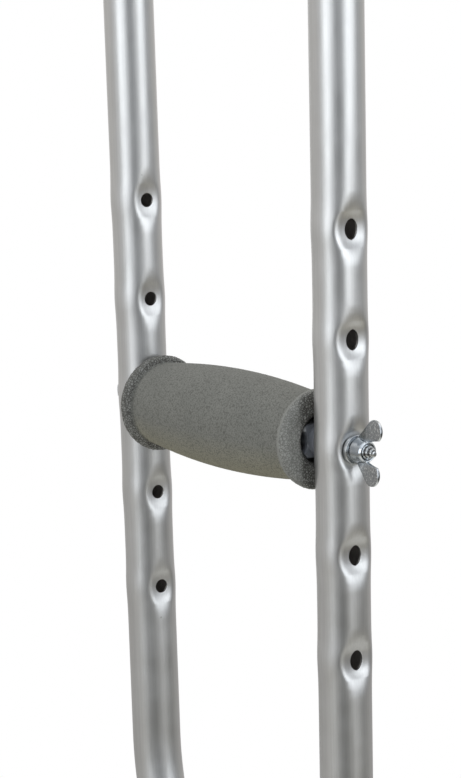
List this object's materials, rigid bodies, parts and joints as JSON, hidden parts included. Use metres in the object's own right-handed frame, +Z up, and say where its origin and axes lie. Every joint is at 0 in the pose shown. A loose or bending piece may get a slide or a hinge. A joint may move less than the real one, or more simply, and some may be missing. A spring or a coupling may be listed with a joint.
{
  "type": "underarm crutch",
  "caption": "Underarm crutch of bent, dimple-punched aluminium tube, with a foam grip on a wing-nut bolt, padded armrest, snap-button telescoping leg and rubber tip.",
  "frame": {"origin": "under the middle of the rubber tip's sole, with the leg at its middle hole", "axes": "+Z up along the leg; +X forward along the grip bolt, from its head to its wing nut; +Y to the left, square to the plane of the two uprights"},
  "size_m": [0.2204, 0.048, 1.2646],
  "materials": {
    "anodised_aluminium": "satin anodised, drawn tube",
    "grey_foam": "closed-cell foam with a fine pebbled skin",
    "dark_plastic": "moulded, dull sheen",
    "zinc_plate": "bright zinc plating",
    "spring_steel": "oiled steel",
    "grey_rubber": "matt moulded rubber"
  },
  "bodies": {
    "frame": {"front_upright": "anodised_aluminium", "rear_upright": "anodised_aluminium", "front_foot_plug": "dark_plastic", "rear_foot_plug": "dark_plastic", "arm_saddle": "dark_plastic", "underarm_pad": "grey_foam", "front_rivet": "zinc_plate", "rear_rivet": "zinc_plate", "grip_sleeve": "grey_foam", "grip_core": "dark_plastic", "leg_tube": "anodised_aluminium", "leg_cap": "dark_plastic", "leg_collar": "dark_plastic", "lower_leg_bolt": "zinc_plate", "lower_leg_nut": "zinc_plate", "upper_leg_bolt": "zinc_plate", "upper_leg_nut": "zinc_plate"},
    "inner_leg": {"extension_tube": "anodised_aluminium", "rubber_tip": "grey_rubber", "tip_disc": "spring_steel", "snap_spring": "spring_steel"},
    "right_button": {"right_button": "spring_steel"},
    "left_button": {"left_button": "spring_steel"},
    "bolt": {"grip_bolt": "zinc_plate", "rear_washer": "zinc_plate"},
    "washer": {"front_washer": "zinc_plate"},
    "wing_nut": {"wing_nut": "zinc_plate"}
  },
  "joints": [
    {"name": "leg_slide", "type": "slide", "parent": "frame", "child": "inner_leg", "axis": [0, 0, -1], "range_m": [-0.0762, 0.0762]},
    {"name": "right_button_press", "type": "slide", "parent": "inner_leg", "child": "right_button", "axis": [0, 1, 0], "range_m": [0, 0.0046], "stiffness_N_per_m": 2500, "springref_m": -0.002, "deforming": ["snap_spring"]},
    {"name": "left_button_press", "type": "slide", "parent": "inner_leg", "child": "left_button", "axis": [0, -1, 0], "range_m": [0, 0.0046], "stiffness_N_per_m": 2500, "springref_m": -0.002, "deforming": ["snap_spring"]},
    {"name": "washer_slide", "type": "slide", "parent": "frame", "child": "washer", "axis": [1, 0, 0], "range_m": [0, 0.01]},
    {"name": "wing_nut_turn", "type": "hinge", "parent": "washer", "child": "wing_nut", "pos_m": [0.0845, 0, 0.82], "axis": [1, 0, 0], "range_deg": [0, 3600]},
    {"name": "bolt_draw", "type": "slide", "parent": "frame", "child": "bolt", "axis": [-1, 0, 0], "range_m": [0, 0.18]}
  ],
  "couplings": [
    {"joint": "washer_slide", "follows": "wing_nut_turn", "m_per_rad": 0.00015915}
  ]
}
